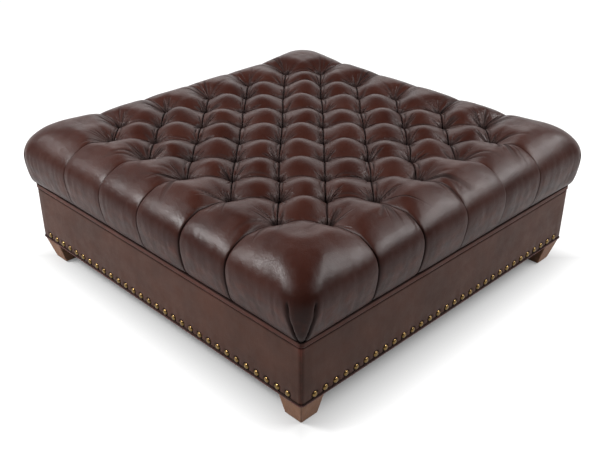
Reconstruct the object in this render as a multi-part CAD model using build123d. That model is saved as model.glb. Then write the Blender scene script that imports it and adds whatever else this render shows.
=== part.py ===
from build123d import *
import os
from math import sqrt

os.makedirs("parts", exist_ok=True)

# Tufted leather ottoman: a square upholstered base on four tapered legs, with a deep-tufted cushion on top.
# The origin is on the floor under the middle. Front is -Y and right is +X.

# The base
base_width = 1120.0
hide = 1.4
skirt_padding_depth = 5.6
rail_height = 167.6
rail_thickness = 25.0
frame_corner = 4.0
deck_thickness = 15.0
hem_depth = 27.0

# The legs, with the glides under them
glide_height = 3.0
glide_radius = 12.0
glide_pin_radius = 1.6
glide_pin_length = 14.0
leg_height = 69.0
leg_top_width = 78.0
leg_bottom_width = 56.0
leg_set_in = 2.0
leg_inner_lean = 3.0
leg_edge = 3.0

# The corner blocks, with the bolts and nuts that hold the legs
block_width = 68.0
block_height = 70.0
block_bevel = 26.0
bolt_radius = 4.0
bolt_in_leg = 40.0
bolt_past_nut = 2.0
bolt_set_in = 23.0
nut_flange_radius = 11.0
nut_flange_height = 1.5
nut_barrel_radius = 5.2
nut_barrel_length = 12.0

# Wood screws
screw_radius = 2.5
screw_head_radius = 4.6
screw_head_height = 3.0
screw_length = 50.0
deck_screw_radius = 2.0
deck_screw_head_radius = 3.8
deck_screw_head_height = 2.4
deck_screw_length = 40.0
deck_screws_per_rail = 6
block_screw_set_in = 42.0
front_screw_height_shares = (0.36, 0.70)
side_screw_height_shares = (0.53, 0.87)

# The two cross rails under the deck
cross_rail_height = 70.0
cross_rail_thickness = 25.0
cross_screw_height_shares = (0.25, 0.75)

# The cushion: its seam is on the deck's edge, and its side leans out from there and rolls over the shoulder
flange_height = 24.0
pleat_rise = 156.0
puff_height = 31.0
side_lean = 24.0
side_scallop = 9.0
corner_pleat_reach = 80.0
side_level_shares = (0.0, 0.28, 0.57, 0.76, 0.91, 1.0)
side_lean_shares = (0.0, 0.66, 1.0, 0.95, 0.36, -0.60)
side_scallop_shares = (0.12, 0.6, 0.9, 1.0, 0.9, 0.8)
corner_reach_shares = (0.0, 0.30, 0.60, 0.72, 0.84, 1.0)

# The tufts, in rows and columns that alternate, and the puffs between them
tuft_margin = 141.0
tuft_rows_out = 5
valley_width = 3.0
puff_sink = 2.0
puff_level_shares = (0.0, 0.40, 0.78, 1.0)
puff_size_shares = (1.0, 0.86, 0.62, 0.28)
puff_round_shares = (0.06, 0.16, 0.26, 0.34)
diamond_round_shares = (1.0, 1.0, 1.0, 1.0)
border_round_shares = (1.0, 1.0, 1.0, 8.0, 1.0, 1.0)
corner_round_shares = (1.0, 1.0, 3.0, 1.0, 1.0)
pit_floor_radius = 9.0
pit_mouth_radius = 26.0
pit_depth = 33.0
pit_mouth_rise = 20.0

# What the cushion holds
foam_clearance = 0.4
wrap_thickness = 6.0
foam_height = 112.0
foam_set_in = 13.0
foam_lean = 14.0
foam_shoulder = 24.0
foam_corner = 40.0
foam_level_shares = (0.0, 0.5, 0.8, 1.0)
foam_lean_shares = (0.0, 0.85, 0.7, -1.0)
foam_hole_radius = 8.0

# The buttons and their twines
button_radius = 8.0
button_rim = 2.0
button_crown = 4.5
twine_radius = 1.2
twine_hole_radius = 3.0
clasp_radius = 6.0
clasp_height = 3.0

# Band, tack strips and welt
band_height = 15.0
band_gap = 1.0
band_overhang = 2.0
band_round = 2.6
strip_thickness = 1.6
strip_height = 16.0
welt_height = 4.5
welt_depth = 1.4

# The nail heads
nails_per_side = 30
nail_radius = 8.0
nail_crown = 5.0
nail_shank_radius = 1.2
nail_shank_length = 15.0
nail_rise = 17.5
nail_end_gap = 44.0

# The dust cover under the base, and its tacks
dust_thickness = 0.8
dust_set_in = 8.75
dust_leg_gap = 4.0
tacks_per_side = 9
tack_head_radius = 3.2
tack_head_height = 0.8
tack_shank_radius = 0.8
tack_shank_length = 12.0
tack_end_gap = 44.0

overrun = 5.0

# Heights, worked out from the floor up
half_base = base_width / 2
under_z = glide_height + leg_height
rail_bottom = under_z + hide
rail_top = rail_bottom + rail_height
deck_top = rail_top + deck_thickness
pleat_z = deck_top + pleat_rise
pit_floor_z = pleat_z - pit_depth
nail_z = under_z + nail_rise
band_top = deck_top - band_gap
band_bottom = band_top - band_height
flange_bottom = deck_top - flange_height

# Distances from the middle to the faces of the sides
skirt_inner = half_base - hide
frame_half = skirt_inner - skirt_padding_depth
rail_inner = frame_half - rail_thickness
seam_half = frame_half + hide
seam_corner = frame_corner + hide
skirt_corner = frame_corner + skirt_padding_depth + hide
rail_middle = frame_half - rail_thickness / 2
leg_outer = half_base - leg_set_in
bolt_place = rail_inner - bolt_set_in
tuft_pitch = (half_base - tuft_margin) / tuft_rows_out
cross_place = tuft_pitch * (tuft_rows_out / 2)
foam_half = frame_half - foam_set_in

SIDES = {"front": 0, "right": 90, "back": 180, "left": 270}
CORNERS = {"front_right": 0, "back_right": 90, "back_left": 180, "front_left": 270}


def turned(shape, angle):
    """The shape turned about the upright middle line."""
    return Rot(0, 0, angle) * shape


def save(name, shapes):
    """Writes one sub-part, of one solid or of a group of them."""
    solids = [solid for shape in shapes for solid in shape.solids()]
    whole = solids[0] if len(solids) == 1 else Compound(children=solids)
    whole.label = name
    export_step(whole, f"parts/{name}.step")


def square_block(half, corner, bottom, top):
    """A square block with rounded upright edges."""
    plan = RectangleRounded(2 * half, 2 * half, corner)
    return Pos(0, 0, bottom) * extrude(plan, amount=top - bottom)


def square_ring(outer, outer_corner, inner, inner_corner, bottom, top):
    """A square frame of one wall thickness."""
    hollow = square_block(inner, inner_corner, bottom - overrun, top + overrun)
    return square_block(outer, outer_corner, bottom, top) - hollow


def front_quarter(ring):
    """The front run of a square ring, mitred at both corners."""
    reach = base_width
    wedge = extrude(Polygon((0, 0), (-reach, -reach), (reach, -reach), align=None), amount=base_width)
    return ring & (Pos(0, 0, -overrun) * wedge)


def rod(radius, start, end):
    """A round rod between two points."""
    line = Vector(*end) - Vector(*start)
    return Plane(origin=start, z_dir=line) * Cylinder(
        radius, line.length, align=(Align.CENTER, Align.CENTER, Align.MIN)
    )


def cap(radius, crown, rim=0.0):
    """A low dome on a short rim, standing on z = 0."""
    ball_radius = (radius**2 + crown**2) / (2 * crown)
    ball = Pos(0, 0, rim + crown - ball_radius) * Sphere(ball_radius)
    return ball & Cylinder(radius, rim + crown, align=(Align.CENTER, Align.CENTER, Align.MIN))


def countersunk(radius, head_radius, head_height, length):
    """A wood screw that points down from z = 0, where its flat head is."""
    head = Cone(radius, head_radius, head_height, align=(Align.CENTER, Align.CENTER, Align.MAX))
    shank = Cylinder(radius, length, align=(Align.CENTER, Align.CENTER, Align.MAX))
    return head + shank


def frame_screw():
    return countersunk(screw_radius, screw_head_radius, screw_head_height, screw_length)


def deck_screw():
    return countersunk(deck_screw_radius, deck_screw_head_radius, deck_screw_head_height, deck_screw_length)


# Places of what repeats


def tuft_places():
    """Each tuft's place: every other crossing of the tuft grid."""
    span = range(-tuft_rows_out, tuft_rows_out + 1)
    return [(m * tuft_pitch, n * tuft_pitch) for m in span for n in span if (m + n) % 2 == 1]


def diamond_places():
    """The middle of each full diamond: the crossings between the tufts."""
    span = range(1 - tuft_rows_out, tuft_rows_out)
    return [(m * tuft_pitch, n * tuft_pitch) for m in span for n in span if (m + n) % 2 == 0]


def row_places(count, reach):
    """Evenly spaced places along a side, from end to end."""
    step = 2 * reach / (count - 1)
    return [-reach + step * i for i in range(count)]


def nail_locations():
    """Where the nails of the front stand, pointing out of the skirt."""
    outward = Plane(origin=(0, -half_base, nail_z), x_dir=(1, 0, 0), z_dir=(0, -1, 0))
    return [outward.location * Pos(x, 0, 0) for x in row_places(nails_per_side, half_base - nail_end_gap)]


def block_screw_locations():
    """Screws through the front rail into its two corner blocks, and through the side rails into them."""
    places = []
    front = Plane(origin=(0, -frame_half, rail_bottom), x_dir=(1, 0, 0), z_dir=(0, -1, 0))
    across = rail_inner - block_screw_set_in
    for share in front_screw_height_shares:
        places += [front.location * Pos(x, share * block_height, 0) for x in (-across, across)]
    return places


def side_screw_locations():
    places = []
    side = Plane(origin=(frame_half, 0, rail_bottom), x_dir=(0, 1, 0), z_dir=(1, 0, 0))
    across = rail_inner - block_screw_set_in
    for share in side_screw_height_shares:
        places += [side.location * Pos(y, share * block_height, 0) for y in (-across, across)]
    return places


def cross_screw_locations():
    """Screws through the front rail into the ends of the cross rails."""
    front = Plane(origin=(0, -frame_half, rail_top - cross_rail_height), x_dir=(1, 0, 0), z_dir=(0, -1, 0))
    return [
        front.location * Pos(x, share * cross_rail_height, 0)
        for x in (-cross_place, cross_place)
        for share in cross_screw_height_shares
    ]


def deck_screw_places():
    """Screws down through the deck, into the rails and the cross rails."""
    step = 2 * rail_inner / deck_screws_per_rail
    along = [step * (i - (deck_screws_per_rail - 1) / 2) for i in range(deck_screws_per_rail)]
    places = []
    for u in along:
        places += [(u, -rail_middle), (u, rail_middle), (-rail_middle, u), (rail_middle, u)]
        places += [(-cross_place, u), (cross_place, u)]
    return places


def tack_locations():
    """Where the tacks of the front go up through the dust cover."""
    reach = leg_outer - leg_top_width - tack_end_gap
    down = Plane(origin=(0, -rail_middle, under_z - dust_thickness), x_dir=(1, 0, 0), z_dir=(0, 0, -1))
    return [down.location * Pos(x, 0, 0) for x in row_places(tacks_per_side, reach)]


def nail():
    """A domed nail head with its shank, standing on z = 0 with the shank below."""
    shank = Cylinder(nail_shank_radius, nail_shank_length, align=(Align.CENTER, Align.CENTER, Align.MAX))
    return cap(nail_radius, nail_crown) + shank


def tack():
    head = Cylinder(tack_head_radius, tack_head_height, align=(Align.CENTER, Align.CENTER, Align.MIN))
    shank = Cylinder(tack_shank_radius, tack_shank_length, align=(Align.CENTER, Align.CENTER, Align.MAX))
    return head + shank


# The legs and what holds them


def leg():
    """The front right leg: a tapered square of wood whose outer faces lean in."""
    top_middle = leg_outer - leg_top_width / 2
    bottom_inner = leg_outer - leg_top_width + leg_inner_lean
    bottom_middle = bottom_inner + leg_bottom_width / 2
    top = Pos(top_middle, -top_middle, under_z) * RectangleRounded(leg_top_width, leg_top_width, leg_edge)
    foot = RectangleRounded(leg_bottom_width, leg_bottom_width, leg_edge)
    bottom = Pos(bottom_middle, -bottom_middle, glide_height) * foot
    body = loft([bottom, top], ruled=True)
    body -= rod(bolt_radius, (bolt_place, -bolt_place, under_z - bolt_in_leg), (bolt_place, -bolt_place, deck_top))
    pin_top = glide_height + glide_pin_length
    middle = glide_middle()
    return body - rod(glide_pin_radius, (middle, -middle, 0), (middle, -middle, pin_top))


def glide_middle():
    """The distance of a leg's foot from the middle lines."""
    return leg_outer - leg_top_width + leg_inner_lean + leg_bottom_width / 2


def glide():
    """The nail-on glide under the front right leg."""
    middle = glide_middle()
    disc = Pos(middle, -middle, 0) * Cylinder(
        glide_radius, glide_height, align=(Align.CENTER, Align.CENTER, Align.MIN)
    )
    pin = rod(glide_pin_radius, (middle, -middle, 0), (middle, -middle, glide_height + glide_pin_length))
    return disc + pin


def nut_top():
    return rail_bottom + block_height + nut_flange_height


def hanger_bolt():
    return rod(
        bolt_radius,
        (bolt_place, -bolt_place, under_z - bolt_in_leg),
        (bolt_place, -bolt_place, nut_top() + bolt_past_nut),
    )


def tee_nut():
    """A flange on the corner block with a barrel down into it."""
    block_top = rail_bottom + block_height
    place = (bolt_place, -bolt_place)
    body = rod(nut_flange_radius, (*place, block_top), (*place, nut_top()))
    body += rod(nut_barrel_radius, (*place, block_top - nut_barrel_length), (*place, nut_top()))
    return body - rod(bolt_radius, (*place, rail_bottom), (*place, deck_top))


def corner_block():
    """The front right corner block, bevelled on its inner edge, with its bolt and nut holes."""
    middle = rail_inner - block_width / 2
    plan = Rectangle(block_width, block_width)
    inner_edge = plan.vertices().group_by(Axis.X)[0].sort_by(Axis.Y)[-1]
    plan = chamfer(inner_edge, block_bevel)
    body = Pos(middle, -middle, rail_bottom) * extrude(plan, amount=block_height)
    place = (bolt_place, -bolt_place)
    block_top = rail_bottom + block_height
    body -= rod(bolt_radius, (*place, under_z), (*place, deck_top))
    body -= rod(nut_barrel_radius, (*place, block_top - nut_barrel_length), (*place, deck_top))
    screws = [place * frame_screw() for place in all_frame_screw_locations()]
    return body - screws


# The frame


def all_frame_screw_locations():
    """Every frame screw of the base, on all four sides."""
    places = block_screw_locations() + side_screw_locations() + cross_screw_locations()
    return places + [Rot(0, 0, 180) * place for place in places]


def front_rail():
    """The front rail runs from side to side, and the side rails stand between it and the back rail."""
    blank = square_block(frame_half, frame_corner, rail_bottom, rail_top)
    keep = Pos(0, -rail_middle, rail_bottom) * Box(
        2 * (frame_half + overrun),
        rail_thickness,
        rail_height,
        align=(Align.CENTER, Align.CENTER, Align.MIN),
    )
    return blank & keep


def right_rail():
    plan = Rectangle(rail_thickness, 2 * rail_inner)
    return Pos(rail_middle, 0, rail_bottom) * extrude(plan, amount=rail_height)


def drilled_rail(rail, angle):
    """A rail turned to its side, with the holes of its screws, nails and tacks."""
    body = turned(rail, 180 if angle in (180, 270) else 0)
    body -= [place * frame_screw() for place in all_frame_screw_locations()]
    body -= [Pos(x, y, deck_top) * deck_screw() for x, y in deck_screw_places()]
    body -= [turned(place * nail(), angle) for place in nail_locations()]
    body -= [turned(place * tack(), angle) for place in tack_locations()]
    return body


def cross_rail(side):
    """A rail on edge under the deck, between two columns of tufts."""
    plan = Rectangle(cross_rail_thickness, 2 * rail_inner)
    body = Pos(side * cross_place, 0, rail_top - cross_rail_height) * extrude(plan, amount=cross_rail_height)
    body -= [place * frame_screw() for place in all_frame_screw_locations()]
    return body - [Pos(x, y, deck_top) * deck_screw() for x, y in deck_screw_places()]


def deck_board():
    """The plywood deck, with a hole under each tuft."""
    body = square_block(frame_half, frame_corner, rail_top, deck_top)
    hole = rod(twine_hole_radius, (0, 0, rail_top - overrun), (0, 0, deck_top + overrun))
    body -= [Pos(x, y, 0) * hole for x, y in tuft_places()]
    return body - [Pos(x, y, deck_top) * deck_screw() for x, y in deck_screw_places()]


# The cushion


def scalloped_plan(half, scallop, corner, z):
    """The cushion's outline at one height: shallow arcs between side pleats, and a rounded corner."""
    stops = [m * tuft_pitch for m in range(1 - tuft_rows_out, tuft_rows_out + 1, 2)]
    end = half - corner
    stops = [-end] + [u for u in stops if abs(u) < end] + [end]
    edges = []
    for turn in (0, 90, 180, 270):
        side = []
        for start, finish in zip(stops, stops[1:]):
            depth = scallop * min(1, (finish - start) / (2 * tuft_pitch))
            middle = ((start + finish) / 2, -half - depth)
            side.append(ThreePointArc((start, -half), middle, (finish, -half)))
        mid = half - corner * (1 - sqrt(0.5))
        side.append(ThreePointArc((end, -half), (mid, -mid), (half, -end)))
        edges += [Pos(0, 0, z) * turned(edge, turn) for edge in side]
    return Face(Wire([edge for shape in edges for edge in shape.edges()]))


def cushion_core():
    """The cushion up to its pleats, with drawn-in sides and a shallow fold at each side pleat."""
    sections = []
    levels = zip(side_level_shares, side_lean_shares, side_scallop_shares, corner_reach_shares)
    for level, lean, scallop, reach in levels:
        half = seam_half + lean * side_lean
        corner = seam_corner + reach * (corner_pleat_reach - seam_corner)
        z = deck_top + level * pleat_rise
        sections.append(scalloped_plan(half, scallop * side_scallop, corner, z))
    return loft(sections)


def puff(points, round_shares):
    """A padded cell that narrows and rounds towards its crown."""
    middle_x = sum(x for x, y in points) / len(points)
    middle_y = sum(y for x, y in points) / len(points)
    drawn_in = 1 - valley_width / (2 * tuft_pitch)
    sections = []
    for level, size, rounding in zip(puff_level_shares, puff_size_shares, puff_round_shares):
        scale = size * drawn_in
        z = pleat_z + level * puff_height
        z -= puff_sink if level == 0 else 0
        corners = [(middle_x + scale * (x - middle_x), middle_y + scale * (y - middle_y), z) for x, y in points]
        radii = [rounding * scale * tuft_pitch * share for share in round_shares]
        outline = FilletPolyline(*corners, radius=radii, close=True)
        sections.append(Face(Wire(outline.edges())))
    return loft(sections)


def diamond_puff():
    points = [(0, -tuft_pitch), (tuft_pitch, 0), (0, tuft_pitch), (-tuft_pitch, 0)]
    return puff(points, diamond_round_shares)


def top_edge_half():
    """The half width of the core's flat top at its side pleats."""
    return seam_half + side_lean_shares[-1] * side_lean


def border_puff():
    """The puff between two side pleats of the front, over the shoulder."""
    d = tuft_pitch
    inner = (tuft_rows_out - 1) * d
    outer_tuft = tuft_rows_out * d
    edge = top_edge_half()
    points = [(0, -inner), (-d, -outer_tuft), (-d, -edge), (0, -edge - side_scallop), (d, -edge), (d, -outer_tuft)]
    return puff(points, border_round_shares)


def corner_puff():
    """The large puff at the front right corner."""
    d = tuft_pitch
    inner = (tuft_rows_out - 1) * d
    outer_tuft = tuft_rows_out * d
    edge = top_edge_half()
    points = [(inner, -outer_tuft), (inner, -edge), (edge, -edge), (edge, -inner), (outer_tuft, -inner)]
    return puff(points, corner_round_shares)


def cushion_form():
    """The whole soft form: the core, its puffs, and a narrow pit at each tuft."""
    diamond = diamond_puff()
    border = border_puff()
    corner = corner_puff()
    puffs = [Pos(x, y, 0) * diamond for x, y in diamond_places()]
    for turn in (0, 90, 180, 270):
        for m in range(2 - tuft_rows_out, tuft_rows_out - 1, 2):
            puffs.append(turned(Pos(m * tuft_pitch, 0, 0) * border, turn))
        puffs.append(turned(corner, turn))
    pit = Cone(
        pit_floor_radius,
        pit_mouth_radius,
        pit_depth + pit_mouth_rise,
        align=(Align.CENTER, Align.CENTER, Align.MIN),
    )
    pits = [Pos(x, y, pit_floor_z) * pit for x, y in tuft_places()]
    return (cushion_core() + puffs) - pits


def tufted_cover():
    """The leather cover with the filling of its puffs, and its stapled edge down over the deck and the rails."""
    cover = cushion_form() - foam_form(2 * foam_clearance + wrap_thickness)
    cover += square_ring(seam_half, seam_corner, frame_half, frame_corner, flange_bottom, deck_top)
    hole = rod(twine_radius, (0, 0, rail_top), (0, 0, pleat_z))
    return cover - [Pos(x, y, 0) * hole for x, y in tuft_places()]


def foam_form(clearance):
    """The plain foam block, grown by a clearance."""
    sections = []
    for level, lean in zip(foam_level_shares, foam_lean_shares):
        offset = foam_lean * lean if lean > 0 else foam_shoulder * lean
        half = foam_half + offset + clearance
        plan = RectangleRounded(2 * half, 2 * half, foam_corner)
        sections.append(Pos(0, 0, deck_top + level * (foam_height + clearance)) * plan)
    return loft(sections)


def foam_block():
    """The foam, with a hole cut through it under each tuft."""
    hole = rod(foam_hole_radius, (0, 0, rail_top), (0, 0, pleat_z))
    return foam_form(0) - [Pos(x, y, 0) * hole for x, y in tuft_places()]


def fibre_wrap():
    """A layer of fibre over the foam, under the tufted cover."""
    wrap = foam_form(foam_clearance + wrap_thickness) - foam_form(foam_clearance)
    hole = rod(twine_hole_radius, (0, 0, rail_top), (0, 0, pleat_z))
    return wrap - [Pos(x, y, 0) * hole for x, y in tuft_places()]


def tuft_button():
    return Pos(0, 0, pit_floor_z) * cap(button_radius, button_crown, button_rim)


def tuft_twine():
    """A twine from under its button to a clasp under the deck."""
    twine = rod(twine_radius, (0, 0, rail_top - clasp_height), (0, 0, pit_floor_z))
    return twine + rod(clasp_radius, (0, 0, rail_top - clasp_height), (0, 0, rail_top))


# The skirt


def skirt_panel():
    """The front leather panel, with its hem turned under the rail."""
    sheet = square_ring(half_base, skirt_corner, skirt_inner, skirt_corner - hide, under_z, band_bottom)
    hem_inner = half_base - hem_depth
    hem = square_ring(half_base, skirt_corner, hem_inner, frame_corner, under_z, rail_bottom)
    panel = front_quarter(sheet + hem)
    panel -= [place * nail() for place in nail_locations()]
    return panel - [place * tack() for place in tack_locations()]


def skirt_padding():
    ring = square_ring(skirt_inner, skirt_corner - hide, frame_half, frame_corner, rail_bottom, flange_bottom)
    return front_quarter(ring) - [place * nail() for place in nail_locations()]


def tack_strip():
    ring = square_ring(
        seam_half + strip_thickness,
        seam_corner + strip_thickness,
        seam_half,
        seam_corner,
        band_top - strip_height,
        band_top,
    )
    return front_quarter(ring)


def seam_band():
    """The rolled leather band between the skirt and the cushion."""
    outer = half_base + band_overhang
    inner = seam_half + strip_thickness
    roll = square_block(outer, skirt_corner + band_overhang, band_bottom, band_top)
    outer_edges = roll.edges().filter_by(Axis.Z, reverse=True)
    roll = fillet(outer_edges, band_round)
    hollow = square_block(inner, seam_corner + strip_thickness, band_bottom - overrun, band_top + overrun)
    return front_quarter(roll - hollow)


def bottom_welt():
    ring = square_ring(
        half_base + welt_depth, skirt_corner + welt_depth, half_base, skirt_corner, under_z, under_z + welt_height
    )
    return front_quarter(ring)


def dust_cover():
    """The thin cloth under the base, cut back round the legs."""
    half = frame_half - dust_set_in
    body = square_block(half, frame_corner, under_z - dust_thickness, under_z)
    leg_inner = leg_outer - leg_top_width - dust_leg_gap
    notch_plan = Rectangle(half_base, half_base, align=(Align.MIN, Align.MAX))
    notch = Pos(leg_inner, -leg_inner, 0) * extrude(notch_plan, amount=deck_top)
    body -= [turned(notch, turn) for turn in (0, 90, 180, 270)]
    for turn in (0, 90, 180, 270):
        body -= [turned(place * tack(), turn) for place in tack_locations()]
    return body


# Writing the sub-parts

leg_body = leg()
glide_body = glide()
block_body = corner_block()
for corner_name, turn in CORNERS.items():
    save(f"leg_{corner_name}", [turned(leg_body, turn)])
    save(f"leg_glide_{corner_name}", [turned(glide_body, turn)])
save("leg_hanger_bolts", [turned(hanger_bolt(), turn) for turn in CORNERS.values()])
save("leg_tee_nuts", [turned(tee_nut(), turn) for turn in CORNERS.values()])
mirrored_block = mirror(block_body, about=Plane.YZ)
save("corner_block_front_right", [block_body])
save("corner_block_front_left", [mirrored_block])
save("corner_block_back_left", [turned(block_body, 180)])
save("corner_block_back_right", [turned(mirrored_block, 180)])

for side_name, turn in SIDES.items():
    blank = front_rail() if side_name in ("front", "back") else right_rail()
    save(f"rail_{side_name}", [drilled_rail(blank, turn)])
save("cross_rail_right", [cross_rail(1)])
save("cross_rail_left", [cross_rail(-1)])
save("frame_screws", [place * frame_screw() for place in all_frame_screw_locations()])
save("deck_board", [deck_board()])
save("deck_screws", [Pos(x, y, deck_top) * deck_screw() for x, y in deck_screw_places()])

save("foam_block", [foam_block()])
save("fibre_wrap", [fibre_wrap()])
save("tufted_cover", [tufted_cover()])
save("tuft_buttons", [Pos(x, y, 0) * tuft_button() for x, y in tuft_places()])
save("tuft_twines", [Pos(x, y, 0) * tuft_twine() for x, y in tuft_places()])

panel = skirt_panel()
padding = skirt_padding()
band = seam_band()
welt = bottom_welt()
for side_name, turn in SIDES.items():
    save(f"skirt_leather_{side_name}", [turned(panel, turn)])
    save(f"skirt_padding_{side_name}", [turned(padding, turn)])
    save(f"seam_band_{side_name}", [turned(band, turn)])
    save(f"bottom_welt_{side_name}", [turned(welt, turn)])
    save(f"nails_{side_name}", [turned(place * nail(), turn) for place in nail_locations()])
save("tack_strips", [turned(tack_strip(), turn) for turn in SIDES.values()])
save("dust_cover", [dust_cover()])
save("dust_cover_tacks", [turned(place * tack(), turn) for turn in SIDES.values() for place in tack_locations()])
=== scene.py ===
import math

import bpy
import numpy as np
from mathutils import Matrix


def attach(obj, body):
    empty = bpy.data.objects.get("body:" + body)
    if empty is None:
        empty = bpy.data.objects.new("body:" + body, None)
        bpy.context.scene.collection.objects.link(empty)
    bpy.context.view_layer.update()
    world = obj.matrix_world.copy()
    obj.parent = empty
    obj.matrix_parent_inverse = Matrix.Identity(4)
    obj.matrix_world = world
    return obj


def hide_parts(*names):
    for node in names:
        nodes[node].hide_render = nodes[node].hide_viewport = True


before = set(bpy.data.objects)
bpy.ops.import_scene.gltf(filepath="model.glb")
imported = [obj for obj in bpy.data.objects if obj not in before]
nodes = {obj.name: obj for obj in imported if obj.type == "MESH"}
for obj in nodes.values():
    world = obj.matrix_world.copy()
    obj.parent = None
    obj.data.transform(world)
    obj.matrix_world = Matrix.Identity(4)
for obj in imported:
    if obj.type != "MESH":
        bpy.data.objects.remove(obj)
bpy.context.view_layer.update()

# The camera stands as in the photograph, and a little above the middle of the ottoman.
# The photograph is 600 pixels wide, and the focal length was found in its pixels.
picture_width = 600
focal_pixels = 864.58
sensor_width = 36.0
camera_azimuth = math.radians(45.18)
camera_elevation = math.radians(29.24)
camera_roll = math.radians(0.13)
camera_distance = 2.691
camera_aside = -0.00605
camera_raised = 0.08086


def stand(name, data):
    """Puts new data into the scene as an object."""
    thing = bpy.data.objects.new(name, data)
    bpy.context.scene.collection.objects.link(thing)
    return thing


def standing(aside, upward, toward, place):
    """The matrix of a camera or a lamp, from its three axes and its place."""
    matrix = np.eye(4)
    matrix[:3] = np.column_stack([aside, upward, toward, place])
    return Matrix(matrix.tolist())


toward = np.array([
    math.sin(camera_azimuth) * math.cos(camera_elevation),
    -math.cos(camera_azimuth) * math.cos(camera_elevation),
    math.sin(camera_elevation),
])
level_right = np.array([math.cos(camera_azimuth), math.sin(camera_azimuth), 0.0])
level_up = np.cross(toward, level_right)
right = math.cos(camera_roll) * level_right + math.sin(camera_roll) * level_up
up = np.cross(toward, right)
place = toward * camera_distance + level_right * camera_aside + level_up * camera_raised

camera_data = bpy.data.cameras.new("camera")
camera_data.sensor_width = sensor_width
camera_data.lens = focal_pixels / picture_width * sensor_width
camera = stand("camera", camera_data)
camera.matrix_world = standing(right, up, toward, place)
bpy.context.scene.camera = camera
bpy.context.scene.view_settings.view_transform = "Standard"


# The room is a photo studio with a pale floor, bright walls behind, a dark front and a dim ceiling.
# A long softbox and a small key lamp hang on the left, a long softbox on the right, a soft panel behind.
# The floor shows white by an added glow, cut back under and round the ottoman as a painted shadow over its
# real one; polished things show it so too.
floor_reach = 14.0
floor_colour = (0.208, 0.208, 0.208, 1)
floor_rough = 0.9
floor_gloss = 0.1
painted_shadow_lift = 0.03
lift_beside = 0.77
painted_shadow_from = 0.48
painted_shadow_to = 0.65
front_light = 0.08
front_ends = -0.2
wall_light = 1.02
wall_begins = 0.9
wall_fades_from = 0.30
wall_fades_to = 0.85
ceiling_light = 0.05
lamp_aim = (0, 0, 0.3)


def new_material(name, fixed):
    """A new material, its node tree and its Principled shader, on which the fixed values are set."""
    material = bpy.data.materials.new(name)
    material.use_nodes = True
    tree = material.node_tree
    surface = tree.nodes["Principled BSDF"]
    for label, value in fixed.items():
        surface.inputs[label].default_value = value
    return material, tree, surface


def wire(tree, kind, output, inputs, **settings):
    """One output of a new shader node, whose inputs take a link or a plain value."""
    node = tree.nodes.new("ShaderNode" + kind)
    for setting, value in settings.items():
        setattr(node, setting, value)
    for socket, value in inputs.items():
        if isinstance(value, bpy.types.NodeSocket):
            tree.links.new(value, node.inputs[socket])
        else:
            node.inputs[socket].default_value = value
    return node.outputs[output]


def sum_up(tree, operation, *values):
    """A maths node on links or plain numbers."""
    return wire(tree, "Math", 0, dict(enumerate(values)), operation=operation)


def spread(tree, value, low, high, to_low=0.0, to_high=1.0):
    """Maps a range of values to another one, held at both ends."""
    ends = {"From Min": low, "From Max": high, "To Min": to_low, "To Max": to_high}
    return wire(tree, "MapRange", "Result", {"Value": value, **ends})


def own_place(tree):
    """The piece's own coordinates, in metres."""
    return wire(tree, "TexCoord", "Object", {})


floor_mesh = bpy.data.meshes.new("floor")
floor_corners = [(-floor_reach, -floor_reach, 0), (floor_reach, -floor_reach, 0),
                 (floor_reach, floor_reach, 0), (-floor_reach, floor_reach, 0)]
floor_mesh.from_pydata(floor_corners, [], [(0, 1, 2, 3)])
floor = stand("floor", floor_mesh)
floor_finish = {"Base Color": floor_colour, "Roughness": floor_rough, "Specular IOR Level": floor_gloss}
floor_paint, tree, surface = new_material("floor_paint", floor_finish)
path = tree.nodes.new("ShaderNodeLightPath")
seen = sum_up(tree, "MAXIMUM", path.outputs["Is Camera Ray"], path.outputs["Is Glossy Ray"])
seen = sum_up(tree, "MAXIMUM", seen, path.outputs["Is Transmission Ray"])
apart = tree.nodes.new("ShaderNodeSeparateXYZ")
tree.links.new(own_place(tree), apart.inputs[0])
from_middle = sum_up(tree, "MAXIMUM", *[sum_up(tree, "ABSOLUTE", apart.outputs[axis]) for axis in "XY"])
# The glow fades towards the ottoman, which paints a soft shadow that is darkest under it.
lift_with_painted_shadow = spread(tree, from_middle, painted_shadow_from, painted_shadow_to, painted_shadow_lift, lift_beside)
lift = tree.nodes.new("ShaderNodeEmission")
tree.links.new(sum_up(tree, "MULTIPLY", seen, lift_with_painted_shadow), lift.inputs["Strength"])
both = tree.nodes.new("ShaderNodeAddShader")
tree.links.new(surface.outputs[0], both.inputs[0])
tree.links.new(lift.outputs[0], both.inputs[1])
tree.links.new(both.outputs[0], tree.nodes["Material Output"].inputs["Surface"])
floor_mesh.materials.append(floor_paint)

world = bpy.data.worlds.new("surround")
world.use_nodes = True
bpy.context.scene.world = world
tree = world.node_tree
backdrop = tree.nodes["Background"]
backdrop.inputs["Color"].default_value = (1, 1, 1, 1)
direction = tree.nodes.new("ShaderNodeSeparateXYZ")
tree.links.new(tree.nodes.new("ShaderNodeTexCoord").outputs["Generated"], direction.inputs[0])
behind = sum_up(tree, "SUBTRACT", direction.outputs["Y"], direction.outputs["X"])
low = spread(tree, direction.outputs["Z"], wall_fades_from, wall_fades_to, 1.0, 0.0)
walls = spread(tree, behind, front_ends, wall_begins, front_light, wall_light)
level = sum_up(tree, "MAXIMUM", sum_up(tree, "MULTIPLY", walls, low), ceiling_light)
tree.links.new(level, backdrop.inputs["Strength"])


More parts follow.
